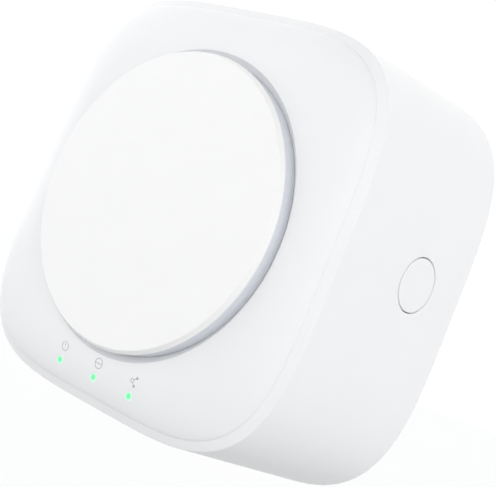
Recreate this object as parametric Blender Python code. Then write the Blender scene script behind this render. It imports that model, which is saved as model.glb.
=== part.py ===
"""Wifi range extender that plugs straight into a mains socket.

The front faces -Y, the wall plate is the plane y = 0, and +Z is up. All sizes are in
millimetres; add_object() turns them into metres.
"""

import math

import bmesh
import bpy
from mathutils import Vector

MM = 0.001
GAP = 0.3  # clearance between neighbouring pieces
X, Y, Z = Vector((1, 0, 0)), Vector((0, 1, 0)), Vector((0, 0, 1))

# Outline of the body: a superellipse, whose power makes it squarer than a circle.
FRONT_HALF = 40.0
REAR_HALF = 42.0
FRONT_POWER = 4.1
REAR_POWER = 3.9
DEPTH = 39.35
WALL = 2.2
RIM_TILT = 38.0  # degrees by which the front rim slopes outwards
RIM_ROUND = 0.35
REAR_ROUND = 1.0
OUTLINE_POINTS = 64
RIM_Y = -DEPTH

# Front panel: a pillow that rises from a crease inside the rim.
POCKET_HALF = 38.4
CREASE_POWER = 4.2
CREASE_Y = RIM_Y + 0.2
CREST_HALF = 38.85
PANEL_BACK_Y = RIM_Y + 1.8
PILLOW_RISE = 2.8
PILLOW_WIDTH = 8.25
PILLOW_POWER = 1.7
PILLOW_EDGE_POWER = 1.4
FLANGE_HALF = 32.0
FLANGE_FRONT_Y = PANEL_BACK_Y + GAP
FLANGE_BACK_Y = FLANGE_FRONT_Y + 1.5

# Round cover on the panel, over its trim ring.
DISC_FACE_RADIUS = 28.6
DISC_RADIUS = 29.0  # at the lip, behind the face
DISC_ROUND = 0.35
DISC_EDGE = 1.2  # from the face back to the lip
DISC_SKIN = 1.6
DISC_POINTS = 48
DISC_Y = RIM_Y - 5.65
TRIM_RADIUS = 28.7
TRIM_WALL = 1.6
SEAT_RADIUS = 30.15
SEAT_Y = RIM_Y - 0.1
SEAT_CHAMFER_Y = RIM_Y - 1.2
PEG_CIRCLE = 20.0
PEG_RADIUS = 1.5

# Rear cover, plug and screws.
COVER_THICK = 2.2
PLUG_Z = 4.0
PLUG_WIDTH = 26.0
PLUG_HEIGHT = 20.0
BLADE_SPACING = 12.7
BLADE_WIDTH = 6.35
BLADE_THICK = 1.5
BLADE_LENGTH = 17.0
BOSS_PLACE = 29.8
BOSS_RADIUS = 3.0
COVER_SCREW_RADIUS = 1.2
BOARD_SCREW_RADIUS = 0.8
POST_X = 32.8
POST_Z = -12.0
POST_RADIUS = 2.3

# Boards.
BOARD_THICK = 1.6
CORNER_SUM = 54.5  # |x| + |z| where a board's corner is cut off, to clear the screw bosses
MAIN_BACK_Y = -17.8
MAIN_FRONT_Y = MAIN_BACK_Y - BOARD_THICK
MAIN_HALF = 35.5
MAIN_TOP = 33.0
MAIN_BOTTOM = -36.5
POWER_BACK_Y = -6.1
POWER_FRONT_Y = POWER_BACK_Y - BOARD_THICK
POWER_HALF = 30.0
POWER_TOP = 34.0
POWER_BOTTOM = -15.0
COMPONENT_Y = -12.2  # middle of the tall parts on the power board
SHIELD_TOP_Y = MAIN_FRONT_Y - 2.8
BARRIER_Y = (-17.3, -16.8)

# Buttons.
BUTTON_Y = -15.2
BUTTON_Z = 2.9
BUTTON_RADIUS = 5.1
BUTTON_POINTS = 32
BUTTON_FLANGE_X = 38.4
BUTTON_TRAVEL = 0.6
SWITCH_DEPTH = 4.8
SWITCH_WIDTH = 6.2
RESET_X = 20.0
RESET_TRAVEL = 0.4
RESET_FACE_Z = -33.0

# Network jack, open downwards.
JACK_HALF = 8.0
JACK_REAR_Y = -4.0
JACK_FRONT_Y = -17.5
JACK_BOTTOM = -40.8
JACK_TOP = -20.0
JACK_SHELL = 0.6
SOCKET_WIDTH = 11.8
SOCKET_DEPTH = 15.0

# Status lights.
LIGHT_PITCH = 10.0
LIGHT_Z = -34.6
LIGHT_RADIUS = 0.68
LIGHT_X = (-LIGHT_PITCH, 0.0, LIGHT_PITCH)
LIGHT_SIDES = ("left", "middle", "right")


def clear_scene():
    for obj in list(bpy.data.objects):
        bpy.data.objects.remove(obj, do_unlink=True)


def material(name, colour, roughness, metallic=0.0):
    found = bpy.data.materials.get(name)
    if found:
        return found
    made = bpy.data.materials.new(name)
    made.use_nodes = True
    shader = made.node_tree.nodes["Principled BSDF"]
    shader.inputs["Base Color"].default_value = (*colour, 1.0)
    shader.inputs["Roughness"].default_value = roughness
    shader.inputs["Metallic"].default_value = metallic
    made.diffuse_color = (*colour, 1.0)
    return made


def shell_white():
    return material("shell_white", (0.86, 0.87, 0.88), 0.28)


def disc_white():
    return material("disc_white", (0.90, 0.90, 0.90), 0.45)


def trim_silver():
    return material("trim_silver", (0.62, 0.65, 0.70), 0.25, 1.0)


def plated_steel():
    return material("plated_steel", (0.60, 0.61, 0.62), 0.35, 1.0)


def black_plastic():
    return material("black_plastic", (0.03, 0.03, 0.03), 0.5)


def board_green():
    return material("board_green", (0.03, 0.16, 0.07), 0.45)


def add_object(name, bm, finish, origin=(0.0, 0.0, 0.0)):
    """Makes an object of this mesh, with its origin at a point given in the same millimetres."""
    origin = Vector(origin)
    bmesh.ops.recalc_face_normals(bm, faces=bm.faces)
    for vertex in bm.verts:
        vertex.co = (vertex.co - origin) * MM
    mesh = bpy.data.meshes.new(name)
    bm.to_mesh(mesh)
    bm.free()
    mesh.shade_smooth()
    mesh.set_sharp_from_angle(angle=math.radians(32))
    obj = bpy.data.objects.new(name, mesh)
    obj.location = origin * MM
    bpy.context.scene.collection.objects.link(obj)
    if finish:
        mesh.materials.append(finish)
    return obj


def combine(obj, operation, name, shapes):
    """Joins shapes to the object (UNION) or cuts them from it (DIFFERENCE)."""
    tool = add_object(name, shapes, None)
    tool.hide_render = True
    tool.display_type = "WIRE"
    modifier = obj.modifiers.new(name, "BOOLEAN")
    modifier.operation = operation
    modifier.solver = "EXACT"
    modifier.use_self = True
    modifier.object = tool


def loft(bm, rings, closed=False):
    """Skins rings of equal length. An open loft has a flat cap at each end."""
    rows = [[bm.verts.new(point) for point in ring] for ring in rings]
    following = rows[1:] + rows[:1] if closed else rows[1:]
    for row, other in zip(rows, following):
        for i, vertex in enumerate(row):
            j = (i + 1) % len(row)
            bm.faces.new((vertex, row[j], other[j], other[i]))
    if not closed:
        bm.faces.new(rows[0])
        bm.faces.new(rows[-1])
    return bm


def circle(centre, axis, radius, count):
    side = axis.orthogonal().normalized()
    other = axis.cross(side).normalized()
    turns = [2 * math.pi * i / count for i in range(count)]
    return [Vector(centre) + radius * (math.cos(t) * side + math.sin(t) * other) for t in turns]


def turned(path, axis, centre, count, closed=False, bm=None):
    """A round solid about an axis through centre. The path lists (radius, distance along the axis)."""
    rings = [circle(Vector(centre) + axis * along, axis, radius, count) for radius, along in path]
    return loft(bm or bmesh.new(), rings, closed)


def add_cylinder(bm, centre, axis, radius, start, end, count=16):
    return turned([(radius, start), (radius, end)], axis, centre, count, bm=bm)


def rectangle(low, high, z):
    return [(low[0], low[1], z), (high[0], low[1], z), (high[0], high[1], z), (low[0], high[1], z)]


def add_box(bm, low, high):
    return loft(bm, [rectangle(low, high, z) for z in (low[2], high[2])])


def box(low, high):
    return add_box(bmesh.new(), low, high)


def plate(bm, corners, start_y, end_y):
    """A flat plate from its outline in x and z."""
    return loft(bm, [[(x, y, z) for x, z in corners] for y in (start_y, end_y)])


def round_corner(radius, steps):
    """(inward, onward) offsets round a quarter circle, from the flat face to the side."""
    turns = [math.pi / 2 * i / steps for i in range(steps + 1)]
    return [(radius * (1 - math.sin(t)), radius * (1 - math.cos(t))) for t in turns]


def reach(turn, half, power):
    """Distance from the middle to a superellipse, in one direction."""
    return half * (abs(math.cos(turn)) ** power + abs(math.sin(turn)) ** power) ** (-1 / power)


def outline(half, power, y):
    turns = [2 * math.pi * i / OUTLINE_POINTS for i in range(OUTLINE_POINTS)]
    sizes = [reach(t, half, power) for t in turns]
    return [Vector((r * math.cos(t), y, r * math.sin(t))) for r, t in zip(sizes, turns)]


def body_half(y):
    return REAR_HALF + (FRONT_HALF - REAR_HALF) * y / RIM_Y


def body_power(y):
    return REAR_POWER + (FRONT_POWER - REAR_POWER) * y / RIM_Y


def body_ring(y, inset=0.0):
    return outline(body_half(y) - inset, body_power(y), y)


def side_x(y, z, inset=0.0):
    """Where the right side wall is, at this depth and height."""
    half, power = body_half(y) - inset, body_power(y)
    return half * (1 - abs(z / half) ** power) ** (1 / power)


def corner_places(place):
    return [(x, z) for x in (-place, place) for z in (-place, place)]


def peg_places():
    turns = [math.radians(90 + 120 * i) for i in range(3)]
    return [(PEG_CIRCLE * math.cos(t), PEG_CIRCLE * math.sin(t)) for t in turns]


def pillow_y(x, z):
    """Front surface of the panel outside the disc seat."""
    size = (abs(x) ** CREASE_POWER + abs(z) ** CREASE_POWER) ** (1 / CREASE_POWER)
    outward = 1 - (POCKET_HALF - size) / PILLOW_WIDTH
    outward = min(max(outward, 0.0), 1.0)
    return CREASE_Y - PILLOW_RISE * (1 - outward**PILLOW_POWER) ** (1 / PILLOW_EDGE_POWER)


def rim_edge(steps):
    """(inset, y) round the outer edge of the sloping rim, from the slope to the side."""
    tilt = math.radians(RIM_TILT)
    slope = FRONT_HALF - RIM_ROUND * (1 - math.sin(tilt)) - CREST_HALF
    centre_y = RIM_Y + slope * math.tan(tilt) + RIM_ROUND * math.cos(tilt)
    turns = [tilt + (math.pi / 2 - tilt) * i / steps for i in range(steps + 1)]
    return [(RIM_ROUND * (1 - math.sin(t)), centre_y - RIM_ROUND * math.cos(t)) for t in turns]


def housing_rings():
    """Section of the sleeve: rim, side, rear edge, inside wall, then the flange behind the panel."""
    rings = [outline(POCKET_HALF, CREASE_POWER, CREASE_Y), outline(CREST_HALF, CREASE_POWER, RIM_Y)]
    rings += [body_ring(y, inset) for inset, y in rim_edge(2)]
    rings += [body_ring(-y, inset) for inset, y in reversed(round_corner(REAR_ROUND, 3))]
    rings += [body_ring(0.0, WALL), body_ring(FLANGE_BACK_Y, WALL)]
    rings += [outline(FLANGE_HALF, FRONT_POWER, y) for y in (FLANGE_BACK_Y, FLANGE_FRONT_Y)]
    rings.append(outline(POCKET_HALF, CREASE_POWER, FLANGE_FRONT_Y))
    return rings


def add_corner_web(bm, x, z):
    """A thin wall that ties a screw boss to its corner."""
    out = Vector((math.copysign(1, x), 0, math.copysign(1, z))).normalized()
    side = out.cross(Y) * 0.8
    near, far = Vector((x, 0, z)) + out, Vector((x, 0, z)) + out * 4.8
    square = [near + side, near - side, far - side, far + side]
    ends = (FLANGE_BACK_Y - 0.5, -COVER_THICK - GAP)
    loft(bm, [[point + Y * y for point in square] for y in ends])


def housing_inner_shapes():
    bm = bmesh.new()
    front = FLANGE_BACK_Y - 0.5
    for x, z in corner_places(BOSS_PLACE):
        add_cylinder(bm, (x, 0, z), Y, BOSS_RADIUS, front, -COVER_THICK - GAP)
        add_corner_web(bm, x, z)
    for side in (-1, 1):
        add_cylinder(bm, (side * POST_X, 0, POST_Z), Y, POST_RADIUS, front, MAIN_FRONT_Y - GAP)
        ends = sorted((side * (POST_X + 1), side * (body_half(front) - 1)))
        add_box(bm, (ends[0], front, POST_Z - 0.8), (ends[1], MAIN_FRONT_Y - 1, POST_Z + 0.8))
    for x in (-22, -10, 10, 22):
        add_box(bm, (x - 0.5, -32, 35.1), (x + 0.5, -24, 38.8))
    return bm


def housing_cuts():
    bm = bmesh.new()
    for x, z in corner_places(BOSS_PLACE):
        add_cylinder(bm, (x, 0, z), Y, COVER_SCREW_RADIUS + GAP, -12.5, 0.0, 12)
    for side in (-1, 1):
        place = (side * POST_X, 0, POST_Z)
        add_cylinder(bm, place, Y, BOARD_SCREW_RADIUS + GAP, -27.0, MAIN_FRONT_Y, 12)
    add_cylinder(bm, (0, BUTTON_Y, BUTTON_Z), X, BUTTON_RADIUS + GAP, 36.0, 44.0, 32)
    add_cylinder(bm, (RESET_X, BUTTON_Y, 0), Z, 0.9, -43.0, -37.0, 12)
    low = (-JACK_HALF - GAP, JACK_FRONT_Y - GAP, -44.0)
    add_box(bm, low, (JACK_HALF + GAP, JACK_REAR_Y + GAP, -37.0))
    add_box(bm, (-12.5, FLANGE_FRONT_Y - 1, -37.0), (12.5, FLANGE_BACK_Y + 1, -31.0))
    for i in range(9):
        x = 4.0 * (i - 4)
        add_box(bm, (x - 0.7, -13, 37.0), (x + 0.7, -5, 44.0))
    for i in range(5):
        x = -28.0 + 3.6 * i
        add_box(bm, (x - 0.7, -13, -44.0), (x + 0.7, -5, -33.0))
    return bm


def build_housing():
    obj = add_object("main_housing", loft(bmesh.new(), housing_rings(), closed=True), shell_white())
    combine(obj, "UNION", "housing_inner_tool", housing_inner_shapes())
    combine(obj, "DIFFERENCE", "housing_cut_tool", housing_cuts())


def panel_ring(share, y=None):
    """A ring from the disc seat (share 0) to the crease (share 1), on the pillow unless y is given."""
    points = []
    for i in range(OUTLINE_POINTS):
        turn = 2 * math.pi * i / OUTLINE_POINTS
        edge = reach(turn, POCKET_HALF - GAP, CREASE_POWER)
        size = SEAT_RADIUS + (edge - SEAT_RADIUS) * share
        x, z = size * math.cos(turn), size * math.sin(turn)
        points.append(Vector((x, pillow_y(x, z) if y is None else y, z)))
    return points


def flange_edge(along):
    return FLANGE_HALF * (1 - abs(along / FLANGE_HALF) ** FRONT_POWER) ** (1 / FRONT_POWER)


def panel_snaps():
    """Hooks that pass inside the flange and catch behind it: (x or z axis, side, place along the edge)."""
    bm = bmesh.new()
    places = [("x", side, 8.0) for side in (-1, 1)]
    places += [("z", 1, along) for along in (-10.0, 10.0)] + [("z", -1, along) for along in (-18.5, 18.5)]
    for axis, side, along in places:
        outer = flange_edge(abs(along) + 3) - GAP - 0.1
        leg, barb = (outer, 3.0, PANEL_BACK_Y - 3.3), (outer + 1.4, 2.9, FLANGE_BACK_Y + GAP)
        for tip, width, start in (leg, barb):
            across = sorted((side * (outer - 1.2), side * tip))
            end = FLANGE_BACK_Y + 4.2 - width
            if axis == "x":
                add_box(bm, (across[0], start, along - width), (across[1], end, along + width))
            else:
                add_box(bm, (along - width, start, across[0]), (along + width, end, across[1]))
    return bm


def panel_cuts():
    bm = bmesh.new()
    for x, z in peg_places():
        add_cylinder(bm, (x, 0, z), Y, PEG_RADIUS + GAP, SEAT_Y - 3, PANEL_BACK_Y + 3, 12)
    for x in LIGHT_X:
        add_cylinder(bm, (x, 0, LIGHT_Z), Y, LIGHT_RADIUS + GAP, DISC_Y, PANEL_BACK_Y + 3, 12)
    return bm


def build_front_panel():
    rings = [outline(TRIM_RADIUS + GAP, 2.0, y) for y in (SEAT_Y, SEAT_CHAMFER_Y)]
    rings += [panel_ring(share) for share in (0.0, 0.3, 0.52, 0.7, 0.84, 0.94, 1.0)]
    rings.append(panel_ring(1.0, PANEL_BACK_Y))
    rings.append(panel_ring(0.86, PANEL_BACK_Y))
    rings += [panel_ring(share, RIM_Y - rise) for share, rise in ((0.74, 0.1), (0.12, 0.8))]
    rings.append(panel_ring(-0.1, PANEL_BACK_Y))
    obj = add_object("front_panel", loft(bmesh.new(), rings), shell_white())
    combine(obj, "UNION", "panel_snap_tool", panel_snaps())
    combine(obj, "DIFFERENCE", "panel_cut_tool", panel_cuts())


def build_disc():
    """Round cover with a spigot inside the trim ring, held by three staked pegs."""
    spigot = TRIM_RADIUS - TRIM_WALL - GAP
    lip_y = DISC_Y + DISC_EDGE
    path = [(DISC_FACE_RADIUS - inset, DISC_Y + y) for inset, y in round_corner(DISC_ROUND, 2)]
    path += [(DISC_RADIUS, lip_y), (spigot, lip_y), (spigot, SEAT_Y - GAP), (spigot - 1.6, SEAT_Y - GAP)]
    path.append((spigot - 1.6, DISC_Y + DISC_SKIN))
    obj = add_object("disc_cover", turned(path, Y, (0, 0, 0), DISC_POINTS), disc_white())
    bm = bmesh.new()
    head = PANEL_BACK_Y + GAP
    for x, z in peg_places():
        pegs = [(PEG_RADIUS, DISC_Y + DISC_SKIN - 0.4), (PEG_RADIUS, head), (2.4, head), (2.4, head + 0.5)]
        turned(pegs + [(1.4, head + 1.1)], Y, (x, 0, z), 12, bm=bm)
    combine(obj, "UNION", "disc_peg_tool", bm)


def build_trim_ring():
    front, back = DISC_Y + DISC_EDGE + GAP, SEAT_Y - GAP
    inner = TRIM_RADIUS - TRIM_WALL
    path = [(inner, front), (TRIM_RADIUS - 0.2, front), (TRIM_RADIUS, front + 0.2)]
    path += [(TRIM_RADIUS, back - 0.2), (TRIM_RADIUS - 0.2, back), (inner, back)]
    ring = turned(path, Y, (0, 0, 0), DISC_POINTS, closed=True)
    add_object("disc_trim_ring", ring, trim_silver())


def cover_posts():
    bm = bmesh.new()
    for x in (-24.0, 24.0):
        for z in (-11.0, 26.0):
            add_cylinder(bm, (x, 0, z), Y, 1.8, POWER_BACK_Y + GAP, -COVER_THICK + 0.5, 12)
    return bm


def cover_cuts():
    bm = bmesh.new()
    for x, z in corner_places(BOSS_PLACE):
        path = [(COVER_SCREW_RADIUS + GAP, -COVER_THICK - 1), (COVER_SCREW_RADIUS + GAP, -1.5)]
        turned(path + [(2.7, -1.5), (2.7, 1.0)], Y, (x, 0, z), 16, bm=bm)
    half_width, half_height = PLUG_WIDTH / 2 + GAP, PLUG_HEIGHT / 2 + GAP
    low = (-half_width, -COVER_THICK - 1, PLUG_Z - half_height)
    add_box(bm, low, (half_width, 1.0, PLUG_Z + half_height))
    for i in range(4):
        for side in (-1, 1):
            x, z = side * 22.5, PLUG_Z + 3.4 * (i - 1.5)
            add_box(bm, (x - 5, -COVER_THICK - 1, z - 0.6), (x + 5, 1.0, z + 0.6))
    return bm


def build_rear_cover():
    edge = REAR_HALF - WALL - GAP
    sizes = ((edge, -COVER_THICK), (edge, -0.4), (edge - 0.4, 0.0))
    rings = [outline(half, REAR_POWER, y) for half, y in sizes]
    obj = add_object("rear_cover", loft(bmesh.new(), rings), shell_white())
    combine(obj, "UNION", "cover_post_tool", cover_posts())
    combine(obj, "DIFFERENCE", "cover_cut_tool", cover_cuts())


def build_plug_base():
    """Insulating block that holds both blades; its flange sits behind the rear cover."""
    rings = []
    sizes = ((2.5, -4.0), (2.5, -COVER_THICK - GAP), (0.0, -COVER_THICK - GAP), (0.0, 0.0))
    for extra, y in sizes:
        half_width, half_height = PLUG_WIDTH / 2 + extra, PLUG_HEIGHT / 2 + extra
        corners = [(-half_width, -half_height), (half_width, -half_height)]
        corners += [(half_width, half_height), (-half_width, half_height)]
        rings.append([(x, y, PLUG_Z + z) for x, z in corners])
    obj = add_object("plug_base", loft(bmesh.new(), rings), material("plug_white", (0.80, 0.80, 0.80), 0.4))
    bm = bmesh.new()
    for side in (-1, 1):
        x = side * BLADE_SPACING / 2
        thick, wide = BLADE_THICK / 2 + GAP, BLADE_WIDTH / 2 + GAP
        add_box(bm, (x - thick, -6.0, PLUG_Z - wide), (x + thick, 2.0, PLUG_Z + wide))
    combine(obj, "DIFFERENCE", "plug_slot_tool", bm)


def build_blade(name, x):
    """Flat blade with a chamfered tip, shoulders behind the base and a tail through the power board."""
    wide, tip = BLADE_WIDTH / 2, BLADE_LENGTH
    tail = [(-9.2, 1.5), (-5.6, 1.5), (-5.6, 4.4), (-4.3, 4.4)]
    outer = tail + [(-4.3, wide), (tip - 1.6, wide), (tip, wide - 1.2)]
    corners = outer + [(y, -z) for y, z in reversed(outer)]
    sides = (x - BLADE_THICK / 2, x + BLADE_THICK / 2)
    rings = [[(side, y, PLUG_Z + z) for y, z in corners] for side in sides]
    obj = add_object(name, loft(bmesh.new(), rings), material("blade_nickel", (0.66, 0.64, 0.58), 0.3, 1.0))
    hole = add_cylinder(bmesh.new(), (0, tip - 5.0, PLUG_Z), X, 1.6, x - 2, x + 2)
    combine(obj, "DIFFERENCE", name + "_hole_tool", hole)


def build_screw(name, x, z, path):
    """The path runs from the tip to the head, along +Y."""
    head_y = path[-1][1]
    obj = add_object(name, turned(path, Y, (x, 0, z), 16), plated_steel())
    cross = bmesh.new()
    quarter = [(-1.1, -0.25), (-0.25, -0.25), (-0.25, -1.1)]
    half = quarter + [(-across, up) for across, up in reversed(quarter)]
    whole = half + [(-across, -up) for across, up in half]
    plate(cross, [(x + across, z + up) for across, up in whole], head_y - 0.6, head_y + 0.5)
    combine(obj, "DIFFERENCE", name + "_cross_tool", cross)


def build_screws():
    r = COVER_SCREW_RADIUS
    cover = [(0.5, -11.6), (r, -10.6), (r, -1.2), (2.3, -1.2), (2.3, -0.5), (2.0, -0.15)]
    for i, (x, z) in enumerate(corner_places(BOSS_PLACE)):
        build_screw(f"cover_screw_{i + 1}", x, z, cover)
    r, head = BOARD_SCREW_RADIUS, MAIN_BACK_Y + GAP
    board = [(0.4, -26.4), (r, -25.6), (r, head), (1.8, head), (1.8, head + 0.8), (1.5, head + 1.1)]
    for name, side in (("left", -1), ("right", 1)):
        build_screw(f"board_screw_{name}", side * POST_X, POST_Z, board)


def board_corners(half, bottom, top):
    """Outline of a board with its corners cut off, in x and z."""
    def corner(side, z):
        up, x = math.copysign(1, z), side * half
        if half + abs(z) <= CORNER_SUM:
            return [(x, z)]
        points = [(side * (CORNER_SUM - abs(z)), z), (x, up * (CORNER_SUM - half))]
        return points if side * up > 0 else points[::-1]
    corners = corner(1, top) + corner(1, bottom) + corner(-1, bottom) + corner(-1, top)
    return corners


def build_main_board():
    corners = board_corners(MAIN_HALF, MAIN_BOTTOM, MAIN_TOP)
    obj = add_object("main_board", plate(bmesh.new(), corners, MAIN_FRONT_Y, MAIN_BACK_Y), board_green())
    bm = bmesh.new()
    for side in (-1, 1):
        place = (side * POST_X, 0, POST_Z)
        add_cylinder(bm, place, Y, BOARD_SCREW_RADIUS + GAP, MAIN_FRONT_Y - 1, MAIN_BACK_Y + 1, 12)
    combine(obj, "DIFFERENCE", "main_board_hole_tool", bm)


def build_power_board():
    corners = board_corners(POWER_HALF, POWER_BOTTOM, POWER_TOP)
    obj = add_object("power_board", plate(bmesh.new(), corners, POWER_FRONT_Y, POWER_BACK_Y), board_green())
    bm = bmesh.new()
    for side in (-1, 1):
        x, thick = side * BLADE_SPACING / 2, BLADE_THICK / 2 + GAP
        low = (x - thick, POWER_FRONT_Y - 1, PLUG_Z - 1.8)
        add_box(bm, low, (x + thick, POWER_BACK_Y + 1, PLUG_Z + 1.8))
    combine(obj, "DIFFERENCE", "power_board_slot_tool", bm)


def build_transformer():
    """Core with a middle leg, and the winding round that leg."""
    x, z = -13.0, 20.0
    core = box((x - 8, COMPONENT_Y - 2.5, z - 7), (x + 8, COMPONENT_Y + 2.5, z + 7))
    ferrite = material("ferrite_grey", (0.08, 0.08, 0.09), 0.6)
    obj = add_object("transformer_core", core, ferrite)
    windows = bmesh.new()
    for low, high in ((-5.2, -2.0), (2.0, 5.2)):
        add_box(windows, (x + low, COMPONENT_Y - 4, z - 4), (x + high, COMPONENT_Y + 4, z + 4))
    combine(obj, "DIFFERENCE", "core_window_tool", windows)
    rings = []
    for half_x, half_y, top in ((2.3, 2.8, -3.6), (4.9, 4.0, -3.6), (4.9, 4.0, 3.6), (2.3, 2.8, 3.6)):
        signs = ((-1, -1), (1, -1), (1, 1), (-1, 1))
        rings.append([(x + sx * half_x, COMPONENT_Y + sy * half_y, z + top) for sx, sy in signs])
    tape = material("winding_tape", (0.62, 0.42, 0.06), 0.5)
    add_object("transformer_winding", loft(bmesh.new(), rings, closed=True), tape)


def build_power_parts():
    sleeve = material("capacitor_sleeve", (0.04, 0.05, 0.12), 0.4)
    for name, radius, start, end, z in (("input", 4.0, 6.0, 21.0, 25.0), ("output", 3.15, 8.0, 19.0, 15.5)):
        y = POWER_FRONT_Y - GAP - radius
        path = [(radius - 0.4, start), (radius, start + 0.4), (radius, end - 0.4), (radius - 0.4, end)]
        add_object(f"{name}_capacitor", turned(path, X, (0, y, z), 20), sleeve)
    choke = [(2.2, -13.0), (5.0, -13.0), (5.0, -8.6), (2.2, -8.6)]
    copper = material("enamelled_copper", (0.45, 0.16, 0.05), 0.4, 0.8)
    add_object("line_choke", turned(choke, Y, (-22.0, 0, 3.0), 20, closed=True), copper)
    fuse = turned([(1.8, -4.0), (1.8, 6.0)], Z, (20.0, POWER_FRONT_Y - 2.2, 1.0), 12)
    add_object("fuse", fuse, material("fuse_ceramic", (0.72, 0.68, 0.58), 0.5))
    header = box((-5.0, MAIN_BACK_Y + GAP, -12.6), (5.0, POWER_FRONT_Y - GAP, -10.0))
    add_object("power_link_header", header, black_plastic())


def build_barrier():
    """Thin insulating sheet between the power parts and the main board."""
    corners = board_corners(28.0, -8.0, 31.0)
    sheet = plate(bmesh.new(), corners, *BARRIER_Y)
    add_object("insulating_barrier", sheet, material("barrier_film", (0.85, 0.82, 0.60), 0.3))


def build_shielded_radio():
    """Chips under tin cans, with thermal pads up to the shared heat spreader."""
    pad = material("thermal_pad_blue", (0.25, 0.38, 0.55), 0.8)
    z, base, top, wall = 7.0, MAIN_FRONT_Y - GAP, SHIELD_TOP_Y, 0.5
    for name, chip, x in (("left", "radio_chip", -15.0), ("right", "processor_chip", 13.0)):
        can = box((x - 12, top, z - 12), (x + 12, base, z + 12))
        obj = add_object(f"rf_shield_{name}", can, plated_steel())
        room = 12 - wall
        hollow = box((x - room, top + wall, z - room), (x + room, base + 1, z + room))
        combine(obj, "DIFFERENCE", f"shield_{name}_tool", hollow)
        add_object(chip, box((x - 5, base - 1.2, z - 5), (x + 5, base, z + 5)), black_plastic())
        cushion = box((x - 9, top - GAP - 1.0, z - 9), (x + 9, top - GAP, z + 9))
        add_object(f"thermal_pad_{name}", cushion, pad)
    build_heat_spreader()


def build_heat_spreader():
    """Folded sheet over both cans, with its two ends bent down to the board."""
    left, right, front, sheet = -30.0, 28.0, SHIELD_TOP_Y - 3.0, 1.2
    foot = MAIN_FRONT_Y - GAP
    corners = [(left, foot), (left, front), (right, front), (right, foot)]
    corners += [(right - sheet, foot), (right - sheet, front + sheet)]
    corners += [(left + sheet, front + sheet), (left + sheet, foot)]
    rings = [[(x, y, z) for x, y in corners] for z in (-8.0, 22.0)]
    finish = material("spreader_aluminium", (0.7, 0.7, 0.72), 0.4, 1.0)
    add_object("heat_spreader", loft(bmesh.new(), rings), finish)


def smooth_route(points, steps):
    """Points along a smooth curve through the given ones."""
    knots = [Vector(point) for point in points]
    knots = [2 * knots[0] - knots[1], *knots, 2 * knots[-1] - knots[-2]]
    route = []
    for a, b, c, d in zip(knots, knots[1:], knots[2:], knots[3:]):
        for step in range(steps):
            t = step / steps
            bend = (2 * a - 5 * b + 4 * c - d) * t * t + (3 * b - a - 3 * c + d) * t**3
            route.append((2 * b + (c - a) * t + bend) / 2)
    return route + [knots[-2]]


def build_antennas():
    lead = material("coax_sheath", (0.15, 0.15, 0.16), 0.5)
    for name, side in (("left", -1), ("right", 1)):
        ends = sorted((side * 5.0, side * 25.0))
        strip = box((ends[0], -34.0, 34.0), (ends[1], -23.0, 34.8))
        add_object(f"antenna_{name}", strip, board_green())
        x = side * 12.0
        knots = [(x, -30.0, 33.0), (x, -29.5, 30.5), (x, -26.0, 27.5), (x, -22.5, 26.5), (x, -20.4, 26.5)]
        curve = bpy.data.curves.new(f"antenna_cable_{name}", "CURVE")
        curve.dimensions = "3D"
        curve.bevel_depth = 0.6 * MM
        curve.bevel_resolution = 2
        curve.use_fill_caps = True
        route = smooth_route(knots, 4)
        spline = curve.splines.new("POLY")
        spline.points.add(len(route) - 1)
        for point, place in zip(spline.points, route):
            point.co = (*(place * MM), 1.0)
        curve.materials.append(lead)
        cable = bpy.data.objects.new(f"antenna_cable_{name}", curve)
        bpy.context.scene.collection.objects.link(cable)


def build_lights():
    """Three light pipes on one bar, and the status LED behind each."""
    led_front = MAIN_FRONT_Y - GAP - 0.8
    half = LIGHT_PITCH + 1.4
    bar = box((-half, -30.0, LIGHT_Z - 0.9), (half, -28.0, LIGHT_Z + 0.9))
    obj = add_object("light_guide", bar, material("light_pipe", (0.30, 0.90, 0.45), 0.15))
    pipes = bmesh.new()
    for x, side in zip(LIGHT_X, LIGHT_SIDES):
        add_cylinder(pipes, (x, 0, LIGHT_Z), Y, LIGHT_RADIUS, pillow_y(x, LIGHT_Z), led_front - GAP, 12)
        high = (x + 0.8, MAIN_FRONT_Y - GAP, LIGHT_Z + 0.8)
        led = box((x - 0.8, led_front, LIGHT_Z - 0.8), high)
        add_object(f"status_led_{side}", led, material("led_body", (0.85, 0.85, 0.70), 0.4))
    combine(obj, "UNION", "light_pipe_tool", pipes)


def jack_block(inset, bottom):
    low = (-JACK_HALF + inset, JACK_FRONT_Y + inset, bottom)
    return box(low, (JACK_HALF - inset, JACK_REAR_Y - inset, JACK_TOP - inset))


def build_jack():
    """Metal shell and its plastic insert, both open at the bottom."""
    shell = add_object("lan_jack_shell", jack_block(0.0, JACK_BOTTOM), plated_steel())
    combine(shell, "DIFFERENCE", "jack_shell_tool", jack_block(JACK_SHELL, JACK_BOTTOM - 1))
    block = jack_block(JACK_SHELL + GAP, JACK_BOTTOM + 0.4)
    insert = add_object("lan_jack_insert", block, black_plastic())
    half, middle = SOCKET_WIDTH / 2, (JACK_FRONT_Y + JACK_REAR_Y) / 2
    notch = ((half, -3.4), (half, 3.0), (3.1, 3.0), (3.1, 5.0))
    corners = [(x, y) for x, y in notch] + [(-x, y) for x, y in reversed(notch)]
    ends = (JACK_BOTTOM - 1, JACK_BOTTOM + SOCKET_DEPTH)
    rings = [[(x, middle + y, z) for x, y in corners] for z in ends]
    combine(insert, "DIFFERENCE", "jack_socket_tool", loft(bmesh.new(), rings))


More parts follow.
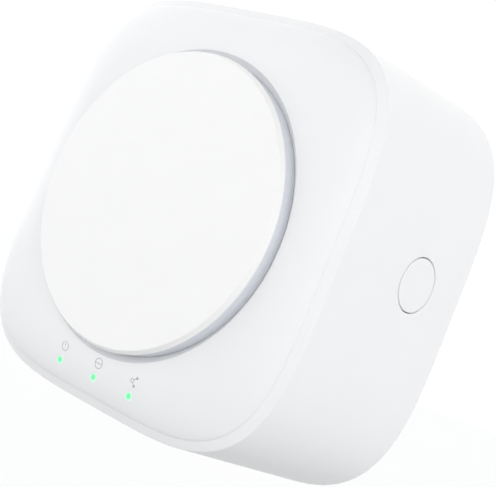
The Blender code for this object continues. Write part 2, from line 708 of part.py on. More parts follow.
def build_side_button():
    """Cap flush with the side wall; its inner flange presses the switch plunger."""
    face = circle((0, BUTTON_Y, BUTTON_Z), X, BUTTON_RADIUS, BUTTON_POINTS)
    steps = ((1.1, BUTTON_FLANGE_X - 1), (1.1, BUTTON_FLANGE_X), (0.0, BUTTON_FLANGE_X))
    rings = [circle((x, BUTTON_Y, BUTTON_Z), X, BUTTON_RADIUS + extra, BUTTON_POINTS) for extra, x in steps]
    rings.append([Vector((side_x(p.y, p.z), p.y, p.z)) for p in face])
    origin = (BUTTON_FLANGE_X, BUTTON_Y, BUTTON_Z)
    finish = material("button_white", (0.86, 0.87, 0.88), 0.28)
    add_object("wps_button_cap", loft(bmesh.new(), rings), finish, origin)
    build_wps_switch(BUTTON_FLANGE_X - 1 - GAP)


def build_wps_switch(tip):
    """Side-acting switch at the board's edge. Its plunger ends at x = tip."""
    centre = (0, BUTTON_Y, BUTTON_Z)
    root, end = tip - 4.7, MAIN_HALF - 0.2
    plunger = add_cylinder(bmesh.new(), centre, X, 1.4, root, tip)
    add_object("wps_switch_plunger", plunger, black_plastic(), (tip, BUTTON_Y, BUTTON_Z))
    near, half = MAIN_BACK_Y + GAP, SWITCH_WIDTH / 2
    body = box((end - 5.2, near, BUTTON_Z - half), (end, near + SWITCH_DEPTH, BUTTON_Z + half))
    obj = add_object("wps_switch_body", body, plated_steel())
    bore = add_cylinder(bmesh.new(), centre, X, 1.4 + GAP, root - BUTTON_TRAVEL - GAP, end + 1)
    combine(obj, "DIFFERENCE", "wps_bore_tool", bore)


def build_reset_switch():
    """Switch above a pinhole in the underside, pressed with a pin."""
    centre = (RESET_X, BUTTON_Y, 0)
    top = RESET_FACE_Z + 2.4
    plunger = add_cylinder(bmesh.new(), centre, Z, 1.0, RESET_FACE_Z - 3.6, top)
    add_object("reset_plunger", plunger, black_plastic(), (RESET_X, BUTTON_Y, RESET_FACE_Z - 3.6))
    low = (RESET_X - SWITCH_WIDTH / 2, MAIN_BACK_Y + GAP, RESET_FACE_Z)
    high = (RESET_X + SWITCH_WIDTH / 2, MAIN_BACK_Y + GAP + SWITCH_DEPTH, RESET_FACE_Z + 5.0)
    obj = add_object("reset_switch_body", box(low, high), plated_steel())
    bore = add_cylinder(bmesh.new(), centre, Z, 1.0 + GAP, RESET_FACE_Z - 1, top + RESET_TRAVEL + GAP)
    combine(obj, "DIFFERENCE", "reset_bore_tool", bore)


def main():
    clear_scene()
    build_housing()
    build_front_panel()
    build_disc()
    build_trim_ring()
    build_rear_cover()
    build_plug_base()
    build_blade("plug_blade_left", -BLADE_SPACING / 2)
    build_blade("plug_blade_right", BLADE_SPACING / 2)
    build_screws()
    build_main_board()
    build_power_board()
    build_transformer()
    build_power_parts()
    build_barrier()
    build_shielded_radio()
    build_antennas()
    build_lights()
    build_jack()
    build_side_button()
    build_reset_switch()


main()
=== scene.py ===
"""Visual model of a wifi range extender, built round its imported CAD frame.

The front faces -Y, the wall plate is the plane y = 0, and +Z is up. Shapes are made in
millimetres, and settle() turns each finished piece into metres.
"""

import math

import bmesh
import bpy
from mathutils import Matrix, Vector


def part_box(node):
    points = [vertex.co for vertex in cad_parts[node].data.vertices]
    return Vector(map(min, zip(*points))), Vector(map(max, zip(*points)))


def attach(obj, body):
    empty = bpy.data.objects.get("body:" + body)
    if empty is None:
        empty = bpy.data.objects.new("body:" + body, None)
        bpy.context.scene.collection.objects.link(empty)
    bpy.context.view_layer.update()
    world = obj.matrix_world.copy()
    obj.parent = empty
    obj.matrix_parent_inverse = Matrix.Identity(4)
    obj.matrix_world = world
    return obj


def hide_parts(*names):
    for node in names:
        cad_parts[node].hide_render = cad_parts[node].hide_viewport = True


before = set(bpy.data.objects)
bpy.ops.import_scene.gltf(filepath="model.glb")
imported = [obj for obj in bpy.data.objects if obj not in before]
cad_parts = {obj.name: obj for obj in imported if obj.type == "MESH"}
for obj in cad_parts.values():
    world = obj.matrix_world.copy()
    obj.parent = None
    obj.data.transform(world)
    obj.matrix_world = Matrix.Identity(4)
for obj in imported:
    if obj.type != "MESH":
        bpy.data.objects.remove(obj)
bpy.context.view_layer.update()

MM = 0.001
X, Y, Z = Vector((1, 0, 0)), Vector((0, 1, 0)), Vector((0, 0, 1))
BODY = "extender_body"


def box_mm(node):
    """Lowest corner, highest corner and middle of a CAD node."""
    low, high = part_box(node)
    return low / MM, high / MM, (low + high) / 2 / MM


# Body, from the CAD solids and their driving sizes.
RIM_Y = box_mm("main_housing")[0].y
REAR_HALF = box_mm("main_housing")[1].x
FRONT_HALF = 40.0
FRONT_POWER, REAR_POWER = 4.1, 3.9
WALL = 2.2
RIM_TILT, RIM_ROUND, REAR_ROUND = 30.0, 0.35, 1.0
POCKET_HALF, CREASE_POWER = 38.4, 4.2
PILLOW_RISE, PILLOW_WIDTH = 2.8, 8.25
PILLOW_POWER, PILLOW_EDGE_POWER = 1.7, 1.4
PARTING = 0.01  # gap between two covers where they meet in view
PANEL_BACK_Y = RIM_Y + 1.8
FLANGE_HALF = 32.0
FLANGE_FRONT_Y, FLANGE_BACK_Y = PANEL_BACK_Y + 0.3, PANEL_BACK_Y + 1.8
BOSS_PLACE, BOSS_RADIUS, BOSS_BACK_Y = 29.8, 3.0, -2.5
POST_X, POST_Z, POST_RADIUS = 32.8, -12.0, 2.3
COVER_SCREW_HOLE, BOARD_SCREW_HOLE = 1.5, 1.1
MAIN_FRONT_Y = box_mm("main_board")[0].y
VENT_Y = -9.0

# Disc, trim ring and their seat.
DISC_Y = box_mm("disc_cover")[0].y
DISC_RADIUS = box_mm("disc_cover")[1].x
DISC_FACE_RADIUS, DISC_ROUND, DISC_EDGE, DISC_SKIN = 28.6, 0.35, 1.2, 1.6
TRIM_RADIUS = box_mm("disc_trim_ring")[1].x
TRIM_WALL, SPIGOT_WALL = 1.6, 1.6
SEAT_RADIUS, SEAT_WALL_RADIUS = 30.15, TRIM_RADIUS + 0.02
SEAT_Y, SEAT_CHAMFER_Y = RIM_Y - 0.1, RIM_Y - 1.2
TRIM_ENDS = [corner.y for corner in box_mm("disc_trim_ring")[:2]]
PEG_CIRCLE, PEG_RADIUS, PEG_HEAD_RADIUS = 20.0, 1.5, 2.4

# Side button, reset pinhole and network jack.
BUTTON_Y, BUTTON_Z = box_mm("wps_button_cap")[2].yz
BUTTON_RADIUS, BUTTON_HOLE = 5.1, 5.3
BUTTON_BACK_X = box_mm("wps_button_cap")[0].x
RESET_X = box_mm("reset_plunger")[2].x
JACK_LOW, JACK_HIGH, JACK_MIDDLE = box_mm("lan_jack_shell")
JACK_X, JACK_Y = JACK_MIDDLE.xy
JACK_SIZE = JACK_HIGH - JACK_LOW
JACK_ENDS = (JACK_LOW.z, JACK_HIGH.z)
WIRE_RADIUS, WIRE_STEP = 0.2, 1.02

# Status lights and the symbols above them.
LIGHT_X = (-10.0, 0.0, 10.0)
LIGHT_Z = -34.6
LIGHT_RADIUS, LIGHT_CORE, LIGHT_PROUD = 0.72, 0.5, 0.1
SYMBOL_SHIFT, SYMBOL_Z = 0.6, -31.8  # from the light across, and the height on the panel
STROKE, INK_THICK, INK_DEEP = 0.12, 0.02, 0.15  # line width, and how far the ink is over and under the panel

# Rear cover and plug.
COVER_HALF = box_mm("rear_cover")[1].x
COVER_THICK = 2.2
PLUG_Z = box_mm("plug_base")[2].z
PLUG_WIDTH, PLUG_HEIGHT, PLUG_CORNER = 26.0, 20.0, 1.5
BLADE_X = box_mm("plug_blade_right")[2].x
BLADE_TIP = box_mm("plug_blade_right")[1].y
BLADE_WIDTH, BLADE_THICK = 6.35, 1.5
SCREW_RADIUS, SCREW_HEAD = 1.2, 2.3
COVER_VENT_X, COVER_VENT_STEP = 22.5, 3.4
LABEL_WIDTH, LABEL_HEIGHT, LABEL_Z = 38.0, 14.0, -21.0

# Moulded plastic: how far apart its waviness and its grain are.
WAVE_SIZE, GRAIN_SIZE = 9.0, 0.25

# Mesh density: points round an outline and round a turned piece.
AROUND = 256
TURN = 192

# Camera: the angle, distance and roll at which the extender is seen.
VIEW_AZIMUTH, VIEW_ELEVATION, VIEW_ROLL = 40.176, -1.83, 21.826
VIEW_DISTANCE = 228.191
VIEW_TARGET = Vector((2.756, -17.82, -0.606))
VIEW_LENS = 83.05

# Studio light: even light from all round, and soft patches as (azimuth, elevation, added strength).
ROOM_LIGHT, BACKDROP_LIGHT = 1.18, 1.05
LIGHT_TIGHTNESS = 6.0  # a higher value makes each patch smaller
FRONT_FILL = [(azimuth, elevation, 0.55) for azimuth in (20, 70) for elevation in (-20, 20)]
SIDE_AND_BACK = [(-80, 10, 0.7), (-120, 55, 0.5), (160, 55, 0.6)]
DARK_FLAGS = [(20, 55, -0.75), (90, 55, -0.6), (0, 88, -0.5), (170, 20, -0.6), (-50, 55, -0.45)]

# Floor, in metres and as shares of white: painted shade, greyer beneath the object, white further out.
FLOOR_PLACE, FLOOR_SIZE = (0.0, -0.02, -0.20), 4.0
FLOOR_PAINTED_SHADE, FLOOR_FAR = (0.20, 0.58), (0.50, 0.97)
FLOOR_TINT = (0.99, 0.995, 1.0)


# ---------------------------------------------------------------- shapes


def reach(turn, half, power):
    """Distance from the middle to a superellipse, in one direction."""
    return half * (abs(math.cos(turn)) ** power + abs(math.sin(turn)) ** power) ** (-1 / power)


def turns_of(count):
    return [2 * math.pi * i / count for i in range(count)]


def outline(half, power, y, count=AROUND):
    sizes = [(t, reach(t, half, power)) for t in turns_of(count)]
    return [Vector((r * math.cos(t), y, r * math.sin(t))) for t, r in sizes]


def body_half(y):
    return REAR_HALF + (FRONT_HALF - REAR_HALF) * y / RIM_Y


def body_power(y):
    return REAR_POWER + (FRONT_POWER - REAR_POWER) * y / RIM_Y


def body_ring(y, inset=0.0):
    return outline(body_half(y) - inset, body_power(y), y)


def side_x(y, z):
    """Where the right side wall is, at this depth and height."""
    half, power = body_half(y), body_power(y)
    return half * (1 - abs(z / half) ** power) ** (1 / power)


def pillow_y(x, z):
    """Front surface of the panel outside the disc seat."""
    size = (abs(x) ** CREASE_POWER + abs(z) ** CREASE_POWER) ** (1 / CREASE_POWER)
    outward = 1 - (POCKET_HALF - size) / PILLOW_WIDTH
    outward = min(max(outward, 0.0), 1.0)
    return RIM_Y - PILLOW_RISE * (1 - outward**PILLOW_POWER) ** (1 / PILLOW_EDGE_POWER)


def round_corner(radius, steps):
    """(inward, onward) offsets round a quarter circle, from the flat face to the side."""
    turns = [math.pi / 2 * i / steps for i in range(steps + 1)]
    return [(radius * (1 - math.sin(t)), radius * (1 - math.cos(t))) for t in turns]


def between(start, end, count):
    return [start + (end - start) * i / (count + 1) for i in range(1, count + 1)]


def loft(bm, rings, closed=False):
    """Skins rings of equal length. An open loft has a flat cap at each end."""
    rows = [[bm.verts.new(point) for point in ring] for ring in rings]
    following = rows[1:] + rows[:1] if closed else rows[1:]
    for row, other in zip(rows, following):
        for i, vertex in enumerate(row):
            j = (i + 1) % len(row)
            bm.faces.new((vertex, row[j], other[j], other[i]))
    if not closed:
        bm.faces.new(rows[0])
        bm.faces.new(rows[-1])
    return bm


def circle(centre, axis, radius, count):
    side = axis.orthogonal().normalized()
    other = axis.cross(side).normalized()
    return [Vector(centre) + radius * (math.cos(t) * side + math.sin(t) * other) for t in turns_of(count)]


def turned(bm, path, axis, centre, count=TURN, closed=False):
    """A round solid about an axis through centre. The path lists (radius, distance along the axis)."""
    rings = [circle(Vector(centre) + axis * along, axis, radius, count) for radius, along in path]
    return loft(bm, rings, closed)


def rounded_rectangle(width, height, radius, steps=6):
    """Points (across, up) of a rectangle with round corners, about its centre."""
    points = []
    for quarter, (side, up) in enumerate(((1, 1), (-1, 1), (-1, -1), (1, -1))):
        for i in range(steps + 1):
            turn = math.pi / 2 * (quarter + i / steps)
            across = side * (width / 2 - radius) + radius * math.cos(turn)
            points.append((across, up * (height / 2 - radius) + radius * math.sin(turn)))
    return points


def box(bm, low, high):
    corners = ((low[0], low[1]), (high[0], low[1]), (high[0], high[1]), (low[0], high[1]))
    return loft(bm, [[(x, y, z) for x, y in corners] for z in (low[2], high[2])])


# ---------------------------------------------------------------- openings


def right_wall(y, z, lift):
    return Vector((side_x(y, z) + lift, y, z))


def top_wall(x, y, lift):
    return Vector((x, y, side_x(y, x) + lift))


def bottom_wall(x, y, lift):
    return Vector((x, y, -side_x(y, x) - lift))


def back_wall(x, z, lift):
    return Vector((x, lift, z))


def panel_face(x, z, lift):
    return Vector((x, pillow_y(x, z) - lift, z))


def round_shape(radius, count=TURN):
    """A circle's outline, as a function of how much it is grown."""
    turns = turns_of(count)
    return lambda extra: [((radius + extra) * math.cos(t), (radius + extra) * math.sin(t)) for t in turns]


def slot_shape(width, height, radius):
    """The outline of a rectangle with round corners, as a function of how much it is grown."""
    return lambda extra: rounded_rectangle(width + 2 * extra, height + 2 * extra, radius + extra)


def add_opening(bm, shape, wall, centre, edge, deep):
    """A cutter for an opening whose rim follows the wall and is rounded by this edge radius."""
    turns = [math.pi / 2 * i / 4 for i in range(5)]
    levels = [(0.0, -deep)] + [(edge * (1 - math.cos(t)), edge * (math.sin(t) - 1)) for t in turns]
    levels.append((edge, 1.5))
    rings = []
    for extra, lift in levels:
        rings.append([wall(centre[0] + across, centre[1] + up, lift) for across, up in shape(extra)])
    return loft(bm, rings)


# ---------------------------------------------------------------- objects


def solid(name, bm):
    """An object of this mesh, still in millimetres."""
    bmesh.ops.recalc_face_normals(bm, faces=bm.faces)
    mesh = bpy.data.meshes.new(name)
    bm.to_mesh(mesh)
    bm.free()
    obj = bpy.data.objects.new(name, mesh)
    bpy.context.scene.collection.objects.link(obj)
    return obj


def bake_modifiers(obj):
    graph = bpy.context.evaluated_depsgraph_get()
    mesh = bpy.data.meshes.new_from_object(obj.evaluated_get(graph))
    obj.modifiers.clear()
    obj.data = mesh


def combine(obj, operation, shapes):
    """Joins shapes to the object (UNION) or cuts them from it (DIFFERENCE)."""
    tool = solid(obj.name + "_tool", shapes)
    modifier = obj.modifiers.new("shape", "BOOLEAN")
    modifier.operation = operation
    modifier.solver = "EXACT"
    modifier.use_self = True
    modifier.object = tool
    bake_modifiers(obj)
    bpy.data.objects.remove(tool, do_unlink=True)


def round_edges(obj, width, angle=40, segments=3):
    modifier = obj.modifiers.new("edges", "BEVEL")
    modifier.width = width
    modifier.segments = segments
    modifier.limit_method = "ANGLE"
    modifier.angle_limit = math.radians(angle)
    bake_modifiers(obj)


def settle(obj, look, nodes=(), body=BODY, sharp=32):
    """Turns a finished shape into a piece: metres, smooth shading, material, body and CAD nodes."""
    obj.data.transform(Matrix.Scale(MM, 4))
    obj.data.shade_smooth()
    obj.data.set_sharp_from_angle(angle=math.radians(sharp))
    weighted = obj.modifiers.new("normals", "WEIGHTED_NORMAL")
    weighted.keep_sharp = True
    obj.data.materials.clear()
    obj.data.materials.append(look)
    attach(obj, body)
    if nodes:
        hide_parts(*nodes)
    return obj


# ---------------------------------------------------------------- materials


def add_node(material, kind, **values):
    node = material.node_tree.nodes.new(kind)
    for key, value in values.items():
        node.inputs[key.replace("_", " ")].default_value = value
    return node


def link(material, source, target):
    material.node_tree.links.new(source, target)


def base_material(name, colour, roughness, metallic=0.0):
    made = bpy.data.materials.new("look_" + name)
    made.use_nodes = True
    shader = made.node_tree.nodes["Principled BSDF"]
    shader.inputs["Base Color"].default_value = (*colour, 1.0)
    shader.inputs["Roughness"].default_value = roughness
    shader.inputs["Metallic"].default_value = metallic
    made.diffuse_color = (*colour, 1.0)
    return made, shader


def noise(material, size, detail=3.0, stretch=(1.0, 1.0, 1.0)):
    """Noise whose blobs are about this many millimetres across, fixed to the object."""
    place = material.node_tree.nodes.new("ShaderNodeTexCoord")
    mapping = add_node(material, "ShaderNodeMapping", Scale=stretch)
    link(material, place.outputs["Object"], mapping.inputs["Vector"])
    made = add_node(material, "ShaderNodeTexNoise", Scale=1 / (size * MM), Detail=detail)
    link(material, mapping.outputs["Vector"], made.inputs["Vector"])
    return made.outputs["Fac"]


def vary_colour(material, shader, source, first, second):
    ramp = material.node_tree.nodes.new("ShaderNodeValToRGB")
    for element, position, colour in zip(ramp.color_ramp.elements, (0.3, 0.7), (first, second)):
        element.position = position
        element.color = (*colour, 1.0)
    link(material, source, ramp.inputs["Fac"])
    link(material, ramp.outputs["Color"], shader.inputs["Base Color"])


def vary_roughness(material, shader, source, low, high):
    span = add_node(material, "ShaderNodeMapRange", From_Min=0.3, From_Max=0.7, To_Min=low, To_Max=high)
    link(material, source, span.inputs["Value"])
    link(material, span.outputs["Result"], shader.inputs["Roughness"])


def add_bump(material, shader, *layers):
    """Bump from (source, depth in millimetres) layers, one after the other."""
    below = None
    for source, depth in layers:
        bump = add_node(material, "ShaderNodeBump", Strength=1.0, Distance=depth * MM)
        link(material, source, bump.inputs["Height"])
        if below:
            link(material, below, bump.inputs["Normal"])
        below = bump.outputs["Normal"]
    link(material, below, shader.inputs["Normal"])


def tint(colour, amount):
    return tuple(min(channel * amount, 1.0) for channel in colour)


def moulded(name, colour, roughness, grain=0.0012, spread=0.05):
    """Injection-moulded plastic: slight waviness, a fine grain, and a little unevenness in its gloss."""
    made, shader = base_material(name, colour, roughness)
    wave, grains = noise(made, WAVE_SIZE, 2.0), noise(made, GRAIN_SIZE, 4.0)
    vary_colour(made, shader, wave, tint(colour, 0.994), tint(colour, 1.003))
    vary_roughness(made, shader, grains, roughness - spread / 2, roughness + spread / 2)
    add_bump(made, shader, (wave, 0.004), (grains, grain))
    return made


def metal(name, colour, roughness, stretch=(1.0, 1.0, 1.0), size=0.3, depth=0.001, metallic=1.0):
    """Metal, or metallic paint, with fine lines where the noise is stretched. No depth means no bump."""
    made, shader = base_material(name, colour, roughness, metallic)
    lines = noise(made, size, 4.0, stretch)
    vary_colour(made, shader, lines, tint(colour, 0.95), tint(colour, 1.03))
    vary_roughness(made, shader, lines, roughness * 0.8, roughness * 1.2)
    if depth:
        add_bump(made, shader, (lines, depth))
    return made


def lit_tip(name, glow):
    """The end of a light pipe: its core glows, and its rim scatters a paler light."""
    made, shader = base_material("light_" + name, (0.10, 0.30, 0.15), 0.3)
    shader.inputs["Emission Color"].default_value = (*glow, 1.0)
    shader.inputs["Emission Strength"].default_value = 1.0
    grains = noise(made, 0.2)
    add_bump(made, shader, (grains, 0.002))
    return made


def make_looks():
    """One material for each slot of the record."""
    looks = {
        "shell_white": moulded("shell_white", (0.83, 0.835, 0.845), 0.34),
        "disc_white": moulded("disc_white", (0.88, 0.88, 0.88), 0.5, 0.002),
        "button_white": moulded("button_white", (0.83, 0.835, 0.845), 0.34),
        "plug_white": moulded("plug_white", (0.78, 0.78, 0.77), 0.45, 0.002),
        "black_plastic": moulded("black_plastic", (0.03, 0.03, 0.032), 0.45, 0.003, 0.1),
        "capacitor_sleeve": moulded("capacitor_sleeve", (0.04, 0.05, 0.12), 0.35),
        "fuse_ceramic": moulded("fuse_ceramic", (0.72, 0.68, 0.58), 0.5, 0.004, 0.1),
        "barrier_film": moulded("barrier_film", (0.85, 0.82, 0.60), 0.3),
        "thermal_pad_blue": moulded("thermal_pad_blue", (0.25, 0.38, 0.55), 0.8, 0.01, 0.1),
        "coax_sheath": moulded("coax_sheath", (0.15, 0.15, 0.16), 0.5, 0.003),
        "light_pipe": moulded("light_pipe", (0.45, 0.80, 0.55), 0.2),
        "led_body": moulded("led_body", (0.85, 0.85, 0.70), 0.4),
        "winding_tape": moulded("winding_tape", (0.62, 0.42, 0.06), 0.35, 0.006),
        "ferrite_grey": moulded("ferrite_grey", (0.08, 0.08, 0.09), 0.6, 0.02, 0.15),
        "board_green": moulded("board_green", (0.03, 0.16, 0.07), 0.4, 0.004),
        "trim_silver": metal("trim_silver", (0.91, 0.93, 0.97), 0.36, depth=0.0, metallic=0.5),
        "blade_nickel": metal("blade_nickel", (0.66, 0.64, 0.58), 0.28, (8.0, 0.3, 8.0)),
        "plated_steel": metal("plated_steel", (0.60, 0.61, 0.62), 0.34),
        "enamelled_copper": metal("enamelled_copper", (0.55, 0.22, 0.08), 0.35),
        "spreader_aluminium": metal("spreader_aluminium", (0.70, 0.70, 0.72), 0.4, (0.3, 6.0, 6.0)),
        "symbol_ink": moulded("symbol_ink", (0.4, 0.41, 0.45), 0.5),
    }
    return looks


def dress_nodes(looks):
    """Gives each CAD node that stays in view the material of its slot."""
    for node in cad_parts.values():
        for place in node.material_slots:
            place.material = looks[place.material.name]


# ---------------------------------------------------------------- housing and panel


def corner_places(place):
    return [(x, z) for x in (-place, place) for z in (-place, place)]


def rim_edge(steps):
    """(inset, y) round the outer edge of the sloping rim, from the slope to the side."""
    tilt = math.radians(RIM_TILT)
    slope = FRONT_HALF - RIM_ROUND * (1 - math.sin(tilt)) - POCKET_HALF
    centre_y = RIM_Y + slope * math.tan(tilt) + RIM_ROUND * math.cos(tilt)
    turns = [tilt + (math.pi / 2 - tilt) * i / steps for i in range(steps + 1)]
    return [(RIM_ROUND * (1 - math.sin(t)), centre_y - RIM_ROUND * math.cos(t)) for t in turns]


def housing_rings():
    """Section of the sleeve: rim, side, rear edge, inside wall, then the flange behind the panel."""
    rings = [outline(POCKET_HALF, CREASE_POWER, RIM_Y)]
    edge = rim_edge(7)
    rings += [body_ring(y, inset) for inset, y in edge]
    rings += [body_ring(y) for y in between(edge[-1][1], -REAR_ROUND, 36)]
    rings += [body_ring(-y, inset) for inset, y in reversed(round_corner(REAR_ROUND, 8))]
    rings += [body_ring(0.0, WALL - 0.2), body_ring(-0.2, WALL)]
    rings += [body_ring(y, WALL) for y in between(-0.2, FLANGE_BACK_Y, 6)]
    rings.append(body_ring(FLANGE_BACK_Y, WALL))
    rings += [outline(FLANGE_HALF, FRONT_POWER, y) for y in (FLANGE_BACK_Y, FLANGE_FRONT_Y)]
    rings.append(outline(POCKET_HALF, CREASE_POWER, FLANGE_FRONT_Y))
    return rings


def housing_inner_shapes():
    """Screw bosses with their corner webs, the board's posts, and the ribs that hold the antennas."""
    bm = bmesh.new()
    front, post_end = FLANGE_BACK_Y - 0.5, MAIN_FRONT_Y - 0.3
    for x, z in corner_places(BOSS_PLACE):
        turned(bm, [(BOSS_RADIUS, front), (BOSS_RADIUS, BOSS_BACK_Y)], Y, (x, 0, z), 48)
        out = Vector((math.copysign(1, x), 0, math.copysign(1, z))).normalized()
        side = out.cross(Y) * 0.8
        near, far = Vector((x, 0, z)) + out, Vector((x, 0, z)) + out * 4.8
        web = [near + side, near - side, far - side, far + side]
        loft(bm, [[point + Y * y for point in web] for y in (front, BOSS_BACK_Y)])
    for side in (-1, 1):
        turned(bm, [(POST_RADIUS, front), (POST_RADIUS, post_end)], Y, (side * POST_X, 0, POST_Z), 48)
        ends = sorted((side * (POST_X + 1), side * (body_half(front) - 1)))
        box(bm, (ends[0], front, POST_Z - 0.8), (ends[1], post_end - 0.7, POST_Z + 0.8))
    for x in (-22, -10, 10, 22):
        box(bm, (x - 0.5, -32, 35.1), (x + 0.5, -24, 38.8))
    return bm


def housing_openings():
    bm = bmesh.new()
    add_opening(bm, round_shape(BUTTON_HOLE), right_wall, (BUTTON_Y, BUTTON_Z), 0.18, 5.0)
    add_opening(bm, round_shape(0.9, 48), bottom_wall, (RESET_X, BUTTON_Y), 0.2, 4.0)
    add_opening(bm, slot_shape(16.6, 14.1, 0.5), bottom_wall, (0.0, JACK_Y), 0.3, 4.0)
    vent = slot_shape(1.4, 8.0, 0.69)
    for i in range(9):
        add_opening(bm, vent, top_wall, (4.0 * (i - 4), VENT_Y), 0.25, 4.0)
    for i in range(5):
        add_opening(bm, vent, bottom_wall, (3.6 * i - 28.0, VENT_Y), 0.25, 8.0)
    return bm


def housing_cuts():
    """Screw holes, and the window in the flange for the light pipes."""
    bm = bmesh.new()
    for x, z in corner_places(BOSS_PLACE):
        turned(bm, [(COVER_SCREW_HOLE, -12.5), (COVER_SCREW_HOLE, 0.0)], Y, (x, 0, z), 32)
    hole = [(BOARD_SCREW_HOLE, -27.0), (BOARD_SCREW_HOLE, MAIN_FRONT_Y)]
    for side in (-1, 1):
        turned(bm, hole, Y, (side * POST_X, 0, POST_Z), 32)
    box(bm, (-12.5, FLANGE_FRONT_Y - 1, -37.0), (12.5, FLANGE_BACK_Y + 1, -31.0))
    return bm


def build_housing(looks):
    obj = solid("housing_shell", loft(bmesh.new(), housing_rings(), closed=True))
    combine(obj, "UNION", housing_inner_shapes())
    combine(obj, "DIFFERENCE", housing_openings())
    combine(obj, "DIFFERENCE", housing_cuts())
    settle(obj, looks["shell_white"], ["main_housing"])


def panel_ring(share, y=None):
    """A ring from the disc seat (share 0) to the crease (share 1), on the pillow unless y is given."""
    points = []
    for turn in turns_of(AROUND):
        edge = reach(turn, POCKET_HALF - PARTING, CREASE_POWER)
        size = SEAT_RADIUS + (edge - SEAT_RADIUS) * share
        x, z = size * math.cos(turn), size * math.sin(turn)
        points.append(Vector((x, pillow_y(x, z) if y is None else y, z)))
    return points


def level_ring(radius, y):
    return [Vector((radius * math.cos(t), y, radius * math.sin(t))) for t in turns_of(AROUND)]


def panel_rings():
    """Section of the panel: seat floor, chamfer, pillow, edge and hollow back."""
    shares = [1 - (1 - i / 44) ** 1.8 for i in range(45)]
    rings = [level_ring(SEAT_WALL_RADIUS - 0.6, SEAT_Y)]
    rings += [level_ring(SEAT_WALL_RADIUS, y) for y in (SEAT_Y, SEAT_CHAMFER_Y)]
    rings += [panel_ring(share) for share in shares]
    rings += [panel_ring(1.0, PANEL_BACK_Y), panel_ring(0.86, PANEL_BACK_Y)]
    rings += [panel_ring(share, RIM_Y - rise) for share, rise in ((0.74, 0.1), (0.12, 0.8))]
    rings.append(panel_ring(-0.1, PANEL_BACK_Y))
    return rings


def flange_edge(along):
    return FLANGE_HALF * (1 - abs(along / FLANGE_HALF) ** FRONT_POWER) ** (1 / FRONT_POWER)


def panel_snaps():
    """Hooks that pass inside the flange and catch behind it: (x or z axis, side, place along the edge)."""
    bm = bmesh.new()
    places = [("x", side, 8.0) for side in (-1, 1)]
    places += [("z", 1, along) for along in (-10.0, 10.0)] + [("z", -1, along) for along in (-18.5, 18.5)]
    for axis, side, along in places:
        outer = flange_edge(abs(along) + 3) - 0.4
        leg, barb = (outer, 3.0, PANEL_BACK_Y - 3.3), (outer + 1.4, 2.9, FLANGE_BACK_Y + 0.3)
        for tip, width, start in (leg, barb):
            across = sorted((side * (outer - 1.2), side * tip))
            end = FLANGE_BACK_Y + 4.2 - width
            if axis == "x":
                box(bm, (across[0], start, along - width), (across[1], end, along + width))
            else:
                box(bm, (along - width, start, across[0]), (along + width, end, across[1]))
    return bm


def peg_places():
    turns = [math.radians(90 + 120 * i) for i in range(3)]
    return [(PEG_CIRCLE * math.cos(t), PEG_CIRCLE * math.sin(t)) for t in turns]


def build_panel(looks):
    obj = solid("pillow_panel", loft(bmesh.new(), panel_rings()))
    combine(obj, "UNION", panel_snaps())
    bm = bmesh.new()
    for x, z in peg_places():
        turned(bm, [(PEG_RADIUS + 0.3, SEAT_Y - 3), (PEG_RADIUS + 0.3, PANEL_BACK_Y + 3)], Y, (x, 0, z), 32)
    for x in LIGHT_X:
        add_opening(bm, round_shape(LIGHT_RADIUS + 0.03, 48), panel_face, (x, LIGHT_Z), 0.08, 6.0)
    combine(obj, "DIFFERENCE", bm)
    settle(obj, looks["shell_white"], ["front_panel"])


# ---------------------------------------------------------------- disc and trim ring


def build_disc(looks):
    """Round cover with a spigot inside the trim ring, held by three staked pegs."""
    spigot, lip_y = TRIM_RADIUS - TRIM_WALL - 0.3, DISC_Y + DISC_EDGE
    path = [(DISC_FACE_RADIUS - DISC_ROUND - 2.0, DISC_Y)]
    path += [(DISC_FACE_RADIUS - inset, DISC_Y + y) for inset, y in round_corner(DISC_ROUND, 8)]
    path += [(DISC_RADIUS - inset, lip_y - y) for inset, y in reversed(round_corner(0.1, 4))]
    path += [(spigot, lip_y), (spigot, SEAT_Y - 0.3), (spigot - SPIGOT_WALL, SEAT_Y - 0.3)]
    path.append((spigot - SPIGOT_WALL, DISC_Y + DISC_SKIN))
    obj = solid("round_cover", turned(bmesh.new(), path, Y, (0, 0, 0)))
    bm = bmesh.new()
    head = PANEL_BACK_Y + 0.3
    for x, z in peg_places():
        peg = [(PEG_RADIUS, DISC_Y + 1.2), (PEG_RADIUS, head)]
        peg += [(PEG_HEAD_RADIUS, head), (PEG_HEAD_RADIUS, head + 0.5), (1.4, head + 1.1)]
        turned(bm, peg, Y, (x, 0, z), 32)
    combine(obj, "UNION", bm)
    settle(obj, looks["disc_white"], ["disc_cover"])


def build_trim_ring(looks):
    front, back = TRIM_ENDS
    inner = TRIM_RADIUS - TRIM_WALL
    path = [(inner, front)]
    path += [(TRIM_RADIUS - inset, front + y) for inset, y in round_corner(0.2, 4)]
    path += [(TRIM_RADIUS - inset, back - y) for inset, y in reversed(round_corner(0.2, 4))]
    path.append((inner, back))
    obj = solid("silver_ring", turned(bmesh.new(), path, Y, (0, 0, 0), closed=True))
    settle(obj, looks["trim_silver"], ["disc_trim_ring"])


# ---------------------------------------------------------------- button


